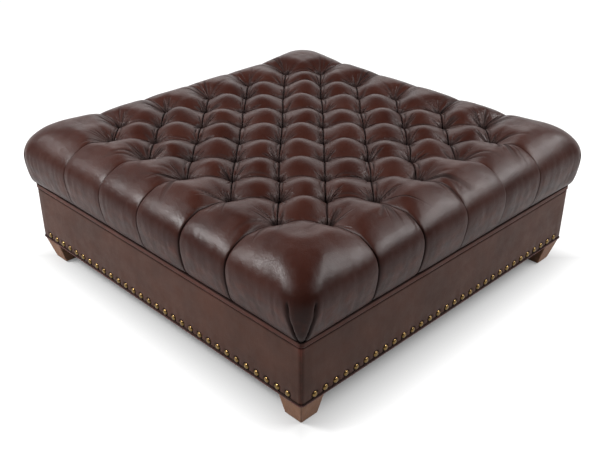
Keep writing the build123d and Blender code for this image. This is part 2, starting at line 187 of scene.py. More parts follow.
def softbox(name, width, height, brightness, position):
    """A rectangular lamp pointed at the ottoman, of the given brightness seen from there."""
    lamp_data = bpy.data.lights.new(name, "AREA")
    lamp_data.shape = "RECTANGLE"
    lamp_data.size = width
    lamp_data.size_y = height
    lamp_data.energy = brightness * math.pi * width * height
    away = np.array(position) - lamp_aim
    away /= np.linalg.norm(away)
    side = np.cross((0, 0, 1), away)
    side /= np.linalg.norm(side)
    lamp = stand(name, lamp_data)
    lamp.matrix_world = standing(side, np.cross(away, side), away, position)
    lamp.visible_camera = False


softbox("left_softbox", 3.0, 0.32, 48.0, (-1.50, -2.25, 2.50))
softbox("left_key", 1.2, 0.30, 150.0, (-1.38, -2.36, 2.72))
softbox("right_softbox", 3.2, 0.32, 70.0, (2.05, 1.85, 2.50))
softbox("soft_panel_behind", 5.0, 2.4, 1.45, (-2.8, 2.8, 2.4))


# The cushion cover is one dark red-brown hide over foam and fibre, pulled down by 60 buttons.
# It is sewn nowhere: the fullness is folded into pleats between the tufts and down the sides.
# The mesh is one grid of rings, laid flat over the top and rolled over the shoulder to the seam.
tuft_pitch = 0.0838
tuft_rows_out = 5
steps_per_pitch = 18
rings_down_side = 60
finer_at_pleats = 1.55
pleat_height = 0.4175
top_crown = 0.002
shoulder_way = 0.03
puff_fullness = 0.0232
puff_flatness = 2.0
puff_edge = 1.28
puff_lean = 0.12
puff_fillings = (0.86, 1.08)
border_fillings = (0.85, 1.10)
side_flatness = 3.2
side_edge = 0.42
side_opens_by = 0.10
side_puffs_by = 0.08
slack_from = 0.02
slack_way = 0.07
slack_fill = 0.85
slack_widens = 0.003
corner_puff_reach = 0.105
drawn_cells = 24
doubled_near = 0.006
doubled_further = 0.007
doubled_depth = 0.0034
doubled_width = 0.0014
corner_fold_width = 0.0017
pit_depth = 0.024
pit_radius = 0.0118
pit_mouth_depth = 0.012
pit_mouth_radius = 0.028
pleat_groove = 0.0042
pleat_groove_width = 0.0015
groove_end_way = 0.02
drawn_tufts = 16
folds_per_tuft = 12
folds_per_border_tuft = 9
fold_swing = 0.66
border_fold_swing = (0.16, 1.20)
tuft_fold_spread = 0.036
border_fold_spread = 0.030
fold_width = 0.0011
fold_start = 0.006
fold_tail = 0.6
fine_fold_reach = 0.056
border_fold_reach = 0.16
border_fold_aside = 0.075
net_shift = 0.0030
net_shift_size = 0.15
fine_shift = 0.0022
fine_shift_size = 0.052
fine_shift_way = 0.06
hide_waves = 0.0005
hide_ripples = 0.00022
border_ripples = 0.0005
pleat_clear = 0.012
seam_clear = 0.03
seam_fade = 0.05
# Painted shade: its width at the pleats and the tufts, the fold depth that is fully shaded, and the height
# below which the cover is shaded behind the band
pleat_shade_width = 0.0022
tuft_shade_radius = 0.0165
fold_shade_depth = 0.0034
seam_shadow_below = 0.2635
border_below = 0.12
side_light_below = 0.175
crown_rubbed = 0.35
side_light_amount = 0.8
cover_seed = 7

# The fine folds at the tufts and over the border:
# their most bend, their most depth, how many are missing, and their shortest and longest length
tuft_folds = (9, 0.0042, 0.6, 0.024, 0.062)
border_folds = (5, 0.0032, 0.4, 0.050, 0.140)

# The pleat line from the outer tuft row over the shoulder and down behind the band:
# distance from the middle, height
pleat_line = [
    (0.419, 0.4175), (0.453, 0.418), (0.489, 0.4155), (0.524, 0.410), (0.552, 0.399),
    (0.570, 0.383), (0.579, 0.362), (0.580, 0.335), (0.576, 0.305), (0.570, 0.278),
    (0.5635, 0.263), (0.5555, 0.2585), (0.5540, 0.249), (0.5540, 0.236),
]
# How much a puff stands out of that line, along the way down, and how much more the corner puffs do
fullness_way = [0.0, 0.040, 0.066, 0.085, 0.110, 0.140, 0.180, 0.230, 0.270, 0.292, 0.303]
fullness_out = [0.0232, 0.0247, 0.0250, 0.0200, 0.0135, 0.0092, 0.0075, 0.0060, 0.0040, 0.0015, 0.0]
corner_fullness_way = [0.0, 0.050, 0.080, 0.100, 0.120, 0.140, 0.160, 0.200, 0.240, 0.285, 0.303]
corner_fullness_out = [0.0, 0.002, 0.006, 0.0095, 0.0105, 0.008, 0.0055, 0.004, 0.0025, 0.0020, 0.0]
# How well each side pleat holds, from one end of the side to the other: front, right, back and left
pleat_hold = np.array([
    [0.20, 0.25, 0.55, 0.95, 1.0],
    [1.0, 0.95, 0.35, 0.25, 0.20],
    [0.9, 0.5, 0.3, 0.6, 1.0],
    [0.9, 0.6, 0.3, 0.4, 0.8],
])
# The rounding of the corner in plan, along the same way as a share of it
corner_share = [0.0, 0.08, 0.18, 0.33, 0.50, 0.70, 0.86, 0.96, 1.0]
corner_round = [0.0, 0.028, 0.050, 0.062, 0.058, 0.044, 0.022, 0.007, 0.005]
# The two folds at each corner, from the bulge down to the seam:
# their distance from the corner and their depth
fold_share = [0.54, 0.60, 0.68, 0.78, 0.88, 0.96, 1.0]
fold_from_corner = [0.0260, 0.0265, 0.0240, 0.0165, 0.0078, 0.0022, 0.0008]
fold_depth = [0.0, 0.0026, 0.0042, 0.0046, 0.0040, 0.0024, 0.0010]


def smooth_path(points, samples):
    """Evenly spaced points along a smooth curve through the given ones, and the way along it to each."""
    p = np.array([np.array(points[0]) * 2 - points[1], *points, np.array(points[-1]) * 2 - points[-2]])
    fine = []
    for a, b, c, d in zip(p, p[1:], p[2:], p[3:]):
        t = np.linspace(0, 1, 40, endpoint=False)[:, None]
        run = 2 * b + (c - a) * t + (2 * a - 5 * b + 4 * c - d) * t**2
        fine.append(0.5 * (run + (3 * b - a - 3 * c + d) * t**3))
    fine = np.vstack([*fine, p[-2:-1]])
    way = np.concatenate([[0], np.cumsum(np.linalg.norm(np.diff(fine, axis=0), axis=1))])
    even = np.linspace(0, way[-1], samples)
    return np.column_stack([np.interp(even, way, fine[:, k]) for k in range(fine.shape[1])]), even


def ramp(x, over):
    """An even rise from 0 to 1 over the given way."""
    return np.clip(x / over, 0, 1)


def hump(x, width):
    """A bell curve of height 1 round 0."""
    return np.exp(-((x / width) ** 2))


def smooth_table(x, places, values):
    """Reads a short table of values along a curve that has no corners."""
    places, values = np.array(places), np.array(values)
    slopes = np.gradient(values, places)
    k = np.clip(np.searchsorted(places, x, side="right") - 1, 0, len(places) - 2)
    step = places[k + 1] - places[k]
    f = ramp(x - places[k], step)
    bend = slopes[k] * (f - 2 * f**2 + f**3) + slopes[k + 1] * (f**3 - f**2)
    return values[k] + (values[k + 1] - values[k]) * (3 * f**2 - 2 * f**3) + step * bend


def eased(x):
    """Gives an even rise from 0 to 1 soft ends."""
    return x * x * (3 - 2 * x)


def smooth_noise(x, y, cell, seed):
    """Smooth random hills of about one unit, with the given spacing between them."""
    table = np.random.default_rng(seed).uniform(-1, 1, (64, 64))
    gx, gy = x / cell + 31.7, y / cell + 17.3
    ix, iy = np.floor(gx).astype(int), np.floor(gy).astype(int)
    fx, fy = eased(gx - ix), eased(gy - iy)
    near = table[ix % 64, iy % 64] * (1 - fx) + table[(ix + 1) % 64, iy % 64] * fx
    far = table[ix % 64, (iy + 1) % 64] * (1 - fx) + table[(ix + 1) % 64, (iy + 1) % 64] * fx
    return near * (1 - fy) + far * fy


side_points, side_ways = smooth_path(pleat_line, 400)
side_slopes = np.gradient(side_points, side_ways, axis=0)
side_way = side_ways[-1]
field = tuft_rows_out * tuft_pitch
last_pleat = field - tuft_pitch
cell_width = tuft_pitch * math.sqrt(2)
field_steps = tuft_rows_out * steps_per_pitch
half_steps = field_steps + rings_down_side
steps = np.arange(-half_steps, half_steps + 1)
on_field = np.minimum(np.abs(steps), field_steps) * tuft_pitch / steps_per_pitch
beyond = np.maximum(np.abs(steps) - field_steps, 0) / rings_down_side
line = np.sign(steps) * (on_field + beyond * side_way)
flat_u, flat_v = np.meshgrid(line, line, indexing="ij")


def net_place(u, v):
    """A place on the net of pleats, counted in cells along its two diagonals."""
    return (u + v) / (2 * tuft_pitch), (u - v) / (2 * tuft_pitch)


def side_of(u, v):
    """The side that a place is on: 0 for the front, 1 the right, 2 the back and 3 the left."""
    return np.where(np.abs(v) >= np.abs(u), np.where(v < 0, 0, 2), np.where(u > 0, 1, 3))


def toward_pleats(part):
    """Draws places in a cell, which go from -0.5 to 0.5 across it, towards the pleats at its edges."""
    return np.sign(part) * 0.5 * (1 - np.clip(1 - 2 * np.abs(part), 0, 1) ** finer_at_pleats)


def puff_middle(t):
    """The middle of the border puff at a place along a side, in pitches: every odd number."""
    return np.clip(2 * np.round((t / tuft_pitch - 1) / 2) + 1, -tuft_rows_out, tuft_rows_out)


def drawn_in(u, v):
    """The grid's places drawn in towards the pleats, where the mesh has to be finest."""
    p, q = net_place(u, v)
    p = np.round(p) + toward_pleats(p - np.round(p))
    q = np.round(q) + toward_pleats(q - np.round(q))
    inside = np.maximum(np.abs(u), np.abs(v)) <= field
    front = np.abs(v) >= np.abs(u)
    t = np.where(front, u, v)
    middle = puff_middle(t)
    part = (t / tuft_pitch - middle) / 2
    t = np.where(np.abs(t) > field, t, (middle + 2 * toward_pleats(part)) * tuft_pitch)
    side_u, side_v = np.where(front, t, u), np.where(front, v, t)
    return np.where(inside, (p + q) * tuft_pitch, side_u), np.where(inside, (p - q) * tuft_pitch, side_v)


def base_surface(u, v):
    """The pleats' own surface, with no puffs: its points and normals, and where each lies on the hide."""
    s = np.maximum(np.abs(u), np.abs(v))
    way = np.clip(s - field, 0, side_way)
    share = way / side_way
    r = np.where(s <= field, s, np.interp(way, side_ways, side_points[:, 0]))
    z = np.where(s <= field, pleat_height, np.interp(way, side_ways, side_points[:, 1]))
    z = z + top_crown * np.clip(1 - (s / field) ** 2, 0, 1)
    rounding = smooth_table(share, corner_share, corner_round)
    front = np.abs(v) >= np.abs(u)
    t = np.where(front, u, v)
    away = np.abs(t)
    reach = (r - rounding) + rounding * math.pi / 4
    part = ramp(away - last_pleat, np.maximum(s - last_pleat, 1e-6))
    slope = np.clip((s - last_pleat) / np.maximum(reach - last_pleat, 1e-6), 0.05, 1.85)
    along = last_pleat + (reach - last_pleat) * (slope * part + (1 - slope) * part**2)
    along = np.where((away <= last_pleat) | (s <= field), away, along)
    turn = np.clip((along - (r - rounding)) / np.maximum(rounding, 1e-6), 0, math.pi / 4)
    turn = np.where(rounding > 1e-5, turn, 0)
    aside = np.where(turn > 0, r - rounding + rounding * np.sin(turn), along) * np.sign(t)
    out = r - rounding * (1 - np.cos(turn))
    x = np.where(front, aside, out * np.sign(u))
    y = np.where(front, out * np.sign(v), aside)
    ease = ramp(way, shoulder_way)
    normal_out = -np.interp(way, side_ways, side_slopes[:, 1]) * ease
    normal_up = np.interp(way, side_ways, side_slopes[:, 0]) * ease + (1 - ease)
    length = np.hypot(normal_out, normal_up)
    across, outward = np.sin(turn) * np.sign(t), np.cos(turn)
    normal_x = np.where(front, across, outward * np.sign(u)) * normal_out / length
    normal_y = np.where(front, outward * np.sign(v), across) * normal_out / length
    normal = np.stack([normal_x, normal_y, normal_up / length], -1)
    return np.stack([x, y, z], -1), normal, s, way, t, reach - along


def bulge(part, flatness, edge):
    """A rounded rise from 0 at both edges of a cell to 1 in its middle."""
    return np.clip(1 - np.abs(2 * part) ** flatness, 0, 1) ** edge


def puff_height(u, v, s, way, t, corner_gap):
    """How far the puffs stand out of the pleats' surface, and how far it is to the nearest pleat."""
    rng = np.random.default_rng(cover_seed)
    p, q = net_place(u, v)
    cell_p, cell_q = np.round(p).astype(int), np.round(q).astype(int)
    cell = cell_p % drawn_cells, cell_q % drawn_cells
    a, b = p - cell_p, q - cell_q
    # Each puff leans its own way
    lean = rng.uniform(-puff_lean, puff_lean, (2, drawn_cells, drawn_cells))
    whole = np.maximum(np.abs(cell_p + cell_q), np.abs(cell_p - cell_q)) < tuft_rows_out
    lean_a = a + whole * lean[0][cell] * (1 - 4 * a * a)
    lean_b = b + whole * lean[1][cell] * (1 - 4 * b * b)
    inside = bulge(lean_a, puff_flatness, puff_edge) * bulge(lean_b, puff_flatness, puff_edge)
    # The border puffs open out below the shoulder, and run together where a pleat is slack
    middle = puff_middle(t)
    part = np.where(np.abs(t) > field, 0, (t / tuft_pitch - middle) / 2)
    opening = ramp(way, side_opens_by)
    flatness = puff_flatness + (side_flatness - puff_flatness) * opening
    outside = bulge(part, flatness, 2 * puff_edge + (side_edge - 2 * puff_edge) * opening)
    side = side_of(u, v)
    pleat = np.clip(np.round(t / (2 * tuft_pitch)), -2, 2).astype(int) + 2
    slack = (1 - pleat_hold[side, pleat]) * eased(ramp(way - slack_from, slack_way))
    outside = 1 - (1 - outside) * (1 - slack_fill * slack)
    # Some puffs are filled more than others
    plump = rng.uniform(*puff_fillings, (drawn_cells, drawn_cells))[cell]
    in_corner = np.minimum(np.abs(cell_p + cell_q), np.abs(cell_p - cell_q)) == tuft_rows_out
    plump = np.where(in_corner, 1.0, plump)
    side_plump = rng.uniform(*border_fillings, (4, 16))[side, (middle.astype(int) + 8) % 16]
    side_plump = np.where(np.abs(middle) == tuft_rows_out, 1.0, side_plump)
    ease = eased(ramp(way, side_puffs_by))
    plump = plump * (1 - ease) + side_plump * ease
    full = np.where(s <= field, puff_fullness, smooth_table(way, fullness_way, fullness_out))
    height = full * plump * np.where(s <= field, inside, outside)
    corner_full = smooth_table(way, corner_fullness_way, corner_fullness_out)
    height += corner_full * hump(corner_gap, corner_puff_reach)
    gap_inside = cell_width * (0.5 - np.maximum(np.abs(a), np.abs(b)))
    gap_outside = 2 * tuft_pitch * (0.5 - np.abs(part)) + slack_widens * slack
    gap = np.where(s <= field, gap_inside, gap_outside)
    # A doubled fold beside some of the pleats, where the fullness didn't all go into one
    doubled = rng.uniform(-1.2, 1.0, (4, drawn_cells, drawn_cells))
    for k, (across, along) in enumerate(((a, b), (-a, b), (b, a), (-b, a))):
        strength = np.clip(doubled[k][cell], 0, 1) * (s <= field)
        bow = 1 - (2 * along) ** 2
        off_fold = cell_width * (0.5 - across) - (doubled_near + doubled_further * strength) * bow
        height -= doubled_depth * strength**0.5 * hump(off_fold, doubled_width) * bow
        gap = np.where(strength > 0.05, np.minimum(gap, np.abs(off_fold) + 0.0012), gap)
    # The two folds at each corner, and the groove in every pleat
    share = way / side_way
    fold_at = smooth_table(share, fold_share, fold_from_corner)
    fold = np.abs(corner_gap - fold_at)
    mirrored = corner_gap + fold_at
    fold_deep = np.maximum(smooth_table(share, fold_share, fold_depth), 0)
    height -= fold_deep * (np.exp(-fold / corner_fold_width) + np.exp(-mirrored / corner_fold_width))
    gap = np.where(fold_deep > 0.0015, np.minimum(gap, fold), gap)
    groove_fade = ramp(side_way - way, groove_end_way)
    height -= pleat_groove * groove_fade * hump(gap, pleat_groove_width)
    return height, gap


def drawn_folds(rng, shape, most_bend, most_depth, missing, shortest, longest):
    """The bend, depth and length of every fold, of which some are missing."""
    bends = rng.uniform(-most_bend, most_bend, shape)
    depths = most_depth * np.clip(rng.uniform(-missing, 1.0, shape), 0, 1)
    return bends, depths, rng.uniform(shortest, longest, shape)


def fanned_folds(r, turn, turns, bends, depths, lengths, spreading):
    """Fine folds that fan out from a tuft, each with its own direction, bend, depth and length."""
    total = np.zeros_like(r)
    width = fold_width + spreading * r
    begun = ramp(r - fold_start, fold_start)
    for k in range(turns.shape[-1]):
        swing = turn - turns[..., k] - bends[..., k] * r
        ahead = np.clip(np.cos(swing) * 4, 0, 1)
        fade = begun * ramp(lengths[..., k] - r, fold_tail * lengths[..., k])
        total += depths[..., k] * ahead * fade * hump(r * np.sin(swing), width)
    return total


def tuft_pits(u, v, way, t):
    """The depth of the hide round the tufts, the distance to the nearest one, and where its folds run."""
    rng = np.random.default_rng(cover_seed + 1)
    p, q = net_place(u, v)
    near_p, near_q = np.floor(p) + 0.5, np.floor(q) + 0.5
    tuft_u, tuft_v = (near_p + near_q) * tuft_pitch, (near_p - near_q) * tuft_pitch
    real = (np.abs(tuft_u) < field + tuft_pitch / 2) & (np.abs(tuft_v) < field + tuft_pitch / 2)
    r = np.where(real, np.hypot(u - tuft_u, v - tuft_v), 1.0)
    pit = pit_depth * np.exp(-((r / pit_radius) ** 3))
    pit = pit + pit_mouth_depth * np.exp(-((r / pit_mouth_radius) ** 1.6))
    turn = np.arctan2(v - tuft_v, u - tuft_u)
    tuft = near_p.astype(int) % drawn_tufts, near_q.astype(int) % drawn_tufts
    each = (drawn_tufts, drawn_tufts, folds_per_tuft)
    quadrants = np.repeat(np.arange(4) * math.pi / 2, folds_per_tuft // 4)
    turns = quadrants + rng.uniform(-fold_swing, fold_swing, each)
    bends, depths, lengths = [drawn[tuft] for drawn in drawn_folds(rng, each, *tuft_folds)]
    folds = fanned_folds(r, turn, turns[tuft], bends, depths, lengths, tuft_fold_spread)
    # Long folds from the outer tufts over the border puffs
    near = np.clip(2 * np.round(t / (2 * tuft_pitch)), 1 - tuft_rows_out, tuft_rows_out - 1)
    aside = t - near * tuft_pitch
    outer_r = np.hypot(aside, way)
    turn = np.arctan2(aside, way)
    side = side_of(u, v)
    tuft = side, (near.astype(int) // 2 + 2) % 5
    each = (4, 5, folds_per_border_tuft)
    turns = rng.choice([-1, 1], each) * rng.uniform(*border_fold_swing, each)
    bends, depths, lengths = [drawn[tuft] for drawn in drawn_folds(rng, each, *border_folds)]
    outer = fanned_folds(outer_r, turn, turns[tuft], bends, depths, lengths, border_fold_spread)
    out = way > 0
    folds = np.where(out, outer, folds)
    # The direction from the tuft and the tuft's own number, which the leather's finest folds follow
    distance = np.maximum(np.where(out, outer_r, r), 1e-4)
    across = np.where(out, aside, u - tuft_u) / distance
    ahead = np.where(out, way, v - tuft_v) / distance
    number = np.where(out, 40 + 7 * side + near / 2, 3.3 * near_p + 1.7 * near_q)
    outer_reach = np.clip(1 - np.abs(aside) / border_fold_aside, 0, 1)
    outer_reach = outer_reach * np.clip(1 - outer_r / border_fold_reach, 0, 1)
    reach = np.where(out, outer_reach, np.clip(1 - r / fine_fold_reach, 0, 1))
    return pit + folds, r, folds, np.stack([across, ahead, number], -1), reach


def hand_shift(u, v, way):
    """Nothing tufted by hand is quite even, so the net is pulled here and there by a few millimetres."""
    loose = ramp(side_way - way, side_way)
    fine = fine_shift * np.clip(1 - way / fine_shift_way, 0, 1)
    return [
        loose * (net_shift * smooth_noise(u, v, net_shift_size, seed)
                 + fine * smooth_noise(u, v, fine_shift_size, seed + 10)) for seed in (11, 12)
    ]


hide_u, hide_v = drawn_in(flat_u, flat_v)
base, normal, ring, way, along_side, corner_gap = base_surface(hide_u, hide_v)
height, pleat_gap = puff_height(hide_u, hide_v, ring, way, along_side, corner_gap)
pit, tuft_gap, fan, from_tuft, fold_reach = tuft_pits(hide_u, hide_v, way, along_side)
off_pleat = ramp(pleat_gap, pleat_clear)
off_seam = ramp(side_way - seam_clear - way, seam_fade)
on_border = ramp(way - border_below, 0.06) * off_seam
height = height - pit + hide_waves * off_pleat * off_seam * smooth_noise(hide_u, hide_v, 0.050, 3)
height = height + hide_ripples * off_pleat * off_seam * smooth_noise(hide_u, hide_v, 0.019, 5)
ripples = smooth_noise(base[..., 0], base[..., 1], 0.010, 9)
height = height + border_ripples * on_border * ripples * off_pleat
cover_points = base + normal * height[..., None]
shift_x, shift_y = hand_shift(hide_u, hide_v, way)
cover_points[..., 0] += shift_x
cover_points[..., 1] += shift_y


def grid_squares(index):
    """The four corners of each square of a grid of numbered points."""
    return np.stack([index[:-1, :-1], index[1:, :-1], index[1:, 1:], index[:-1, 1:]], -1).reshape(-1, 4)


def mesh_piece(name, points, faces):
    """A smooth mesh object from points and faces, in the frame's own place."""
    mesh = bpy.data.meshes.new(name)
    points = np.asarray(points, float).reshape(-1, 3)
    faces = np.asarray(faces)
    mesh.vertices.add(len(points))
    mesh.vertices.foreach_set("co", points.ravel())
    mesh.loops.add(faces.size)
    mesh.loops.foreach_set("vertex_index", faces.ravel().astype(np.int32))
    mesh.polygons.add(len(faces))
    mesh.polygons.foreach_set("loop_start", np.arange(0, faces.size, faces.shape[1], dtype=np.int32))
    mesh.update(calc_edges=True)
    mesh.validate()
    mesh.polygons.foreach_set("use_smooth", [True] * len(mesh.polygons))
    return stand(name, mesh)


def paint_values(piece, name, values):
    """Keeps one number for each point of the mesh, for its material to read."""
    layer = piece.data.attributes.new(name, "FLOAT", "POINT")
    layer.data.foreach_set("value", np.asarray(values, np.float32).ravel())


# Each square of the grid is split in two along the diagonal that runs with the pleats
middle_u = (hide_u[:-1, :-1] + hide_u[1:, 1:]) / 2
middle_v = (hide_v[:-1, :-1] + hide_v[1:, 1:]) / 2
cell_a, cell_b = [np.abs(place - np.round(place)) for place in net_place(middle_u, middle_v)]
on_top = np.maximum(np.abs(middle_u), np.abs(middle_v)) < field
other_way = np.where(on_top, cell_a > cell_b, middle_u * middle_v < 0).ravel()
a, b, c, d = grid_squares(np.arange(len(line) ** 2).reshape(len(line), len(line))).T
halves = np.where(other_way, [a, b, d], [a, b, c]), np.where(other_way, [b, c, d], [a, c, d])
cover = mesh_piece("tufted_cover_leather", cover_points, np.hstack(halves).T)

# Painted shade darkens the colour in the pleats, round the tufts, in the folds and behind the band
seam_shadow = ramp(seam_shadow_below - cover_points[..., 2], 0.003)
crease_shade = np.maximum(hump(pleat_gap, pleat_shade_width), np.exp(-((tuft_gap / tuft_shade_radius) ** 3)))
crease_shade = np.maximum(crease_shade, np.maximum(seam_shadow, np.clip(fan / fold_shade_depth, 0, 0.8)))
paint_values(cover, "crease_shade", crease_shade)
# Low on the border the sides are painted lighter and redder, as painted light, and the crowns of the puffs
# are rubbed a little
side_painted_light = np.clip((way - side_light_below) / 0.05, 0, side_light_amount)
top_wear = crown_rubbed * ramp(height, puff_fullness) * ramp(border_below - way, 0.05)
paint_values(cover, "wear_and_light", np.maximum(top_wear, side_painted_light) * off_pleat)
paint_values(cover, "fold_reach", fold_reach)
kept_directions = cover.data.attributes.new("from_tuft", "FLOAT_VECTOR", "POINT")
kept_directions.data.foreach_set("vector", from_tuft.astype(np.float32).ravel())


def new_group(name, inputs, outputs):
    """An empty node group with named sockets."""
    group = bpy.data.node_groups.new(name, "ShaderNodeTree")
    for label, kind, value in inputs:
        socket = group.interface.new_socket(name=label, in_out="INPUT", socket_type=kind)
        if value is not None:
            socket.default_value = value
    for label, kind in outputs:
        group.interface.new_socket(name=label, in_out="OUTPUT", socket_type=kind)
    return group, group.nodes.new("NodeGroupInput").outputs, group.nodes.new("NodeGroupOutput").inputs


def mix_colour(tree, factor, first, second, blend="MIX"):
    """One colour mixed with another."""
    return wire(tree, "Mix", 2, {0: factor, 6: first, 7: second}, data_type="RGBA", blend_type=blend)


def noise(tree, place, scale, detail=3.0, roughness=0.5):
    """A noise texture at the given place, with its scale in ripples per metre."""
    kind = {"Scale": scale, "Detail": detail, "Roughness": roughness}
    return wire(tree, "TexNoise", "Fac", {"Vector": place, **kind})


def stretched(tree, scale):
    """The piece's own coordinates, stretched by a scale along each axis."""
    return wire(tree, "Mapping", "Vector", {"Vector": own_place(tree), "Scale": scale})


def kept_value(tree, name, output="Fac"):
    """Reads what is kept for each point of the mesh."""
    return wire(tree, "Attribute", output, {}, attribute_name=name)


def relief(tree, height, strength, depth, **under):
    """Raised detail of the given depth in metres, on top of another relief where there is one."""
    inputs = {"Height": height, "Strength": strength, "Distance": depth, **under}
    return wire(tree, "Bump", "Normal", inputs)


def feed(tree, surface, colour, roughness, normal):
    """Leads a finish to the Principled shader."""
    for label, value in (("Base Color", colour), ("Roughness", roughness), ("Normal", normal)):
        tree.links.new(value, surface.inputs[label])


# Aged hide: pebbled grain and cloudy dye, with painted shade nearly black in the folds, and rubbed redder
# where it stands out; the same redder mix also paints light on the cushion's low sides
hide_group, take, give = new_group(
    "aged_hide",
    [("Dye", "NodeSocketColor", (0.05, 0.01, 0.008, 1)),
     ("Cloud", "NodeSocketColor", (0.08, 0.02, 0.013, 1)),
     ("Rubbed And Lit", "NodeSocketColor", (0.12, 0.03, 0.02, 1)), ("Crease Shade", "NodeSocketFloat", 0.0),
     ("Wear And Light", "NodeSocketFloat", 0.0), ("Rough", "NodeSocketFloat", 0.35)],
    [("Colour", "NodeSocketColor"), ("Roughness", "NodeSocketFloat"), ("Height", "NodeSocketFloat"),
     ("Finish", "NodeSocketFloat")],
)
hide_place = own_place(hide_group)
clouds = spread(hide_group, noise(hide_group, hide_place, 7.0, 4.0, 0.6), 0.35, 0.65)
hide_colour = mix_colour(hide_group, clouds, take["Dye"], take["Cloud"])
mottle = spread(hide_group, noise(hide_group, hide_place, 46.0, 5.0, 0.65), 0.46, 0.74, 0.0, 0.4)
hide_colour = mix_colour(hide_group, mottle, hide_colour, take["Cloud"])
# Redder where the wear-and-light mask is: real rubbing, and on the cushion's low sides painted light.
rubbing = spread(hide_group, noise(hide_group, hide_place, 24.0, 6.0, 0.7), 0.42, 0.62)
rubbed_and_lit = sum_up(hide_group, "MULTIPLY", spread(hide_group, take["Wear And Light"], 0.3, 1.0, 0.0, 0.8), rubbing)
hide_colour = mix_colour(hide_group, rubbed_and_lit, hide_colour, take["Rubbed And Lit"])
# Painted shade: the colour is multiplied down towards black where the crease-shade mask is.
shaded_hide = mix_colour(hide_group, 1.0, hide_colour, (0.10, 0.08, 0.08, 1), "MULTIPLY")
hide_group.links.new(mix_colour(hide_group, take["Crease Shade"], hide_colour, shaded_hide), give["Colour"])
cells = {"Vector": hide_place, "Scale": 620.0, "Smoothness": 0.35}
pebble = wire(hide_group, "TexVoronoi", "Distance", cells, feature="SMOOTH_F1")
pebble = spread(hide_group, pebble, 0.1, 0.75, 0.45, 0.0)
wrinkle = noise(hide_group, hide_place, 130.0, 6.0, 0.7)
stretch_lines = noise(hide_group, stretched(hide_group, (150, 150, 9)), 1.0, 4.0, 0.6)
stretch_lines = sum_up(hide_group, "MULTIPLY", stretch_lines, 0.6)
tall = sum_up(hide_group, "ADD", pebble, sum_up(hide_group, "ADD", wrinkle, stretch_lines))
hide_group.links.new(tall, give["Height"])
shine = spread(hide_group, noise(hide_group, hide_place, 33.0, 4.0, 0.6), 0.35, 0.7, -0.04, 0.07)
shine = sum_up(hide_group, "ADD", take["Rough"], shine)
hide_group.links.new(sum_up(hide_group, "MULTIPLY_ADD", take["Crease Shade"], 0.60, shine), give["Roughness"])
hide_group.links.new(spread(hide_group, take["Crease Shade"], 0.0, 0.8, 1.0, 0.0), give["Finish"])


def radial_folds(tree):
    """Fine folds that run out from each tuft: 1 in the folds and 0 beside them."""
    direction = kept_value(tree, "from_tuft", "Vector")
    lines = sum_up(tree, "ABSOLUTE", sum_up(tree, "SUBTRACT", noise(tree, direction, 2.3, 2.0), 0.5))
    lines = spread(tree, lines, 0.0, 0.055, 1.0, 0.0)
    shorter = spread(tree, noise(tree, direction, 1.6, 1.0), 0.38, 0.62, 0.0, 0.65)
    left_over = spread(tree, sum_up(tree, "SUBTRACT", kept_value(tree, "fold_reach"), shorter), 0.0, 0.30)
    return sum_up(tree, "MULTIPLY", lines, left_over)


def hide_material(name, dye, cloud, rubbed_and_lit, rough, grain_depth, gloss, finish_coat=0.0, tufted=False):
    """Leather on the aged hide group. A waxed finish is a thin coat that the folds have lost."""
    material, tree, surface = new_material(name, {"Specular IOR Level": gloss, "Coat Roughness": 0.3})
    skin = tree.nodes.new("ShaderNodeGroup")
    skin.node_tree = hide_group
    for label, value in (("Dye", dye), ("Cloud", cloud), ("Rubbed And Lit", rubbed_and_lit), ("Rough", rough)):
        skin.inputs[label].default_value = value
    crease_shade = kept_value(tree, "crease_shade")
    under = {}
    if tufted:
        folds = radial_folds(tree)
        # The fine folds add painted shade to the crease-shade mask, as well as their relief.
        crease_shade = sum_up(tree, "MAXIMUM", crease_shade, sum_up(tree, "MULTIPLY", folds, 0.75))
        rumples = sum_up(tree, "MULTIPLY", noise(tree, own_place(tree), 40.0, 2.0), 0.18)
        under["Normal"] = relief(tree, sum_up(tree, "SUBTRACT", rumples, folds), 0.8, 0.0040)
    tree.links.new(crease_shade, skin.inputs["Crease Shade"])
    tree.links.new(kept_value(tree, "wear_and_light"), skin.inputs["Wear And Light"])
    grain = relief(tree, skin.outputs["Height"], 0.5, grain_depth, **under)
    feed(tree, surface, skin.outputs["Colour"], skin.outputs["Roughness"], grain)
    if finish_coat > 0:
        coat = sum_up(tree, "MULTIPLY", skin.outputs["Finish"], finish_coat)
        tree.links.new(coat, surface.inputs["Coat Weight"])
    return material


cover_hide = hide_material(
    "cover_hide", (0.0150, 0.0036, 0.0022, 1), (0.0235, 0.0071, 0.0047, 1), (0.052, 0.0125, 0.0060, 1),
    rough=0.36, grain_depth=0.0006, gloss=0.115, tufted=True,
)
cover.data.materials.append(cover_hide)
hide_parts("tufted_cover")
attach(cover, "root")


# The buttons are small domes covered in the same hide, one at the bottom of each tuft.
# Each is pulled down by its twine, so no two sit quite level.
button_radius = 0.0085
button_crown = 0.0050
button_top = 0.3858
button_rim = 0.96
button_under = 0.0010
button_flat = 0.0014
button_rings = 6
button_sides = 20
button_leans = (0.02, 0.16)
button_sinks = 0.0008
button_shade = 0.35
button_wear = 0.4
buttons_seed = 21


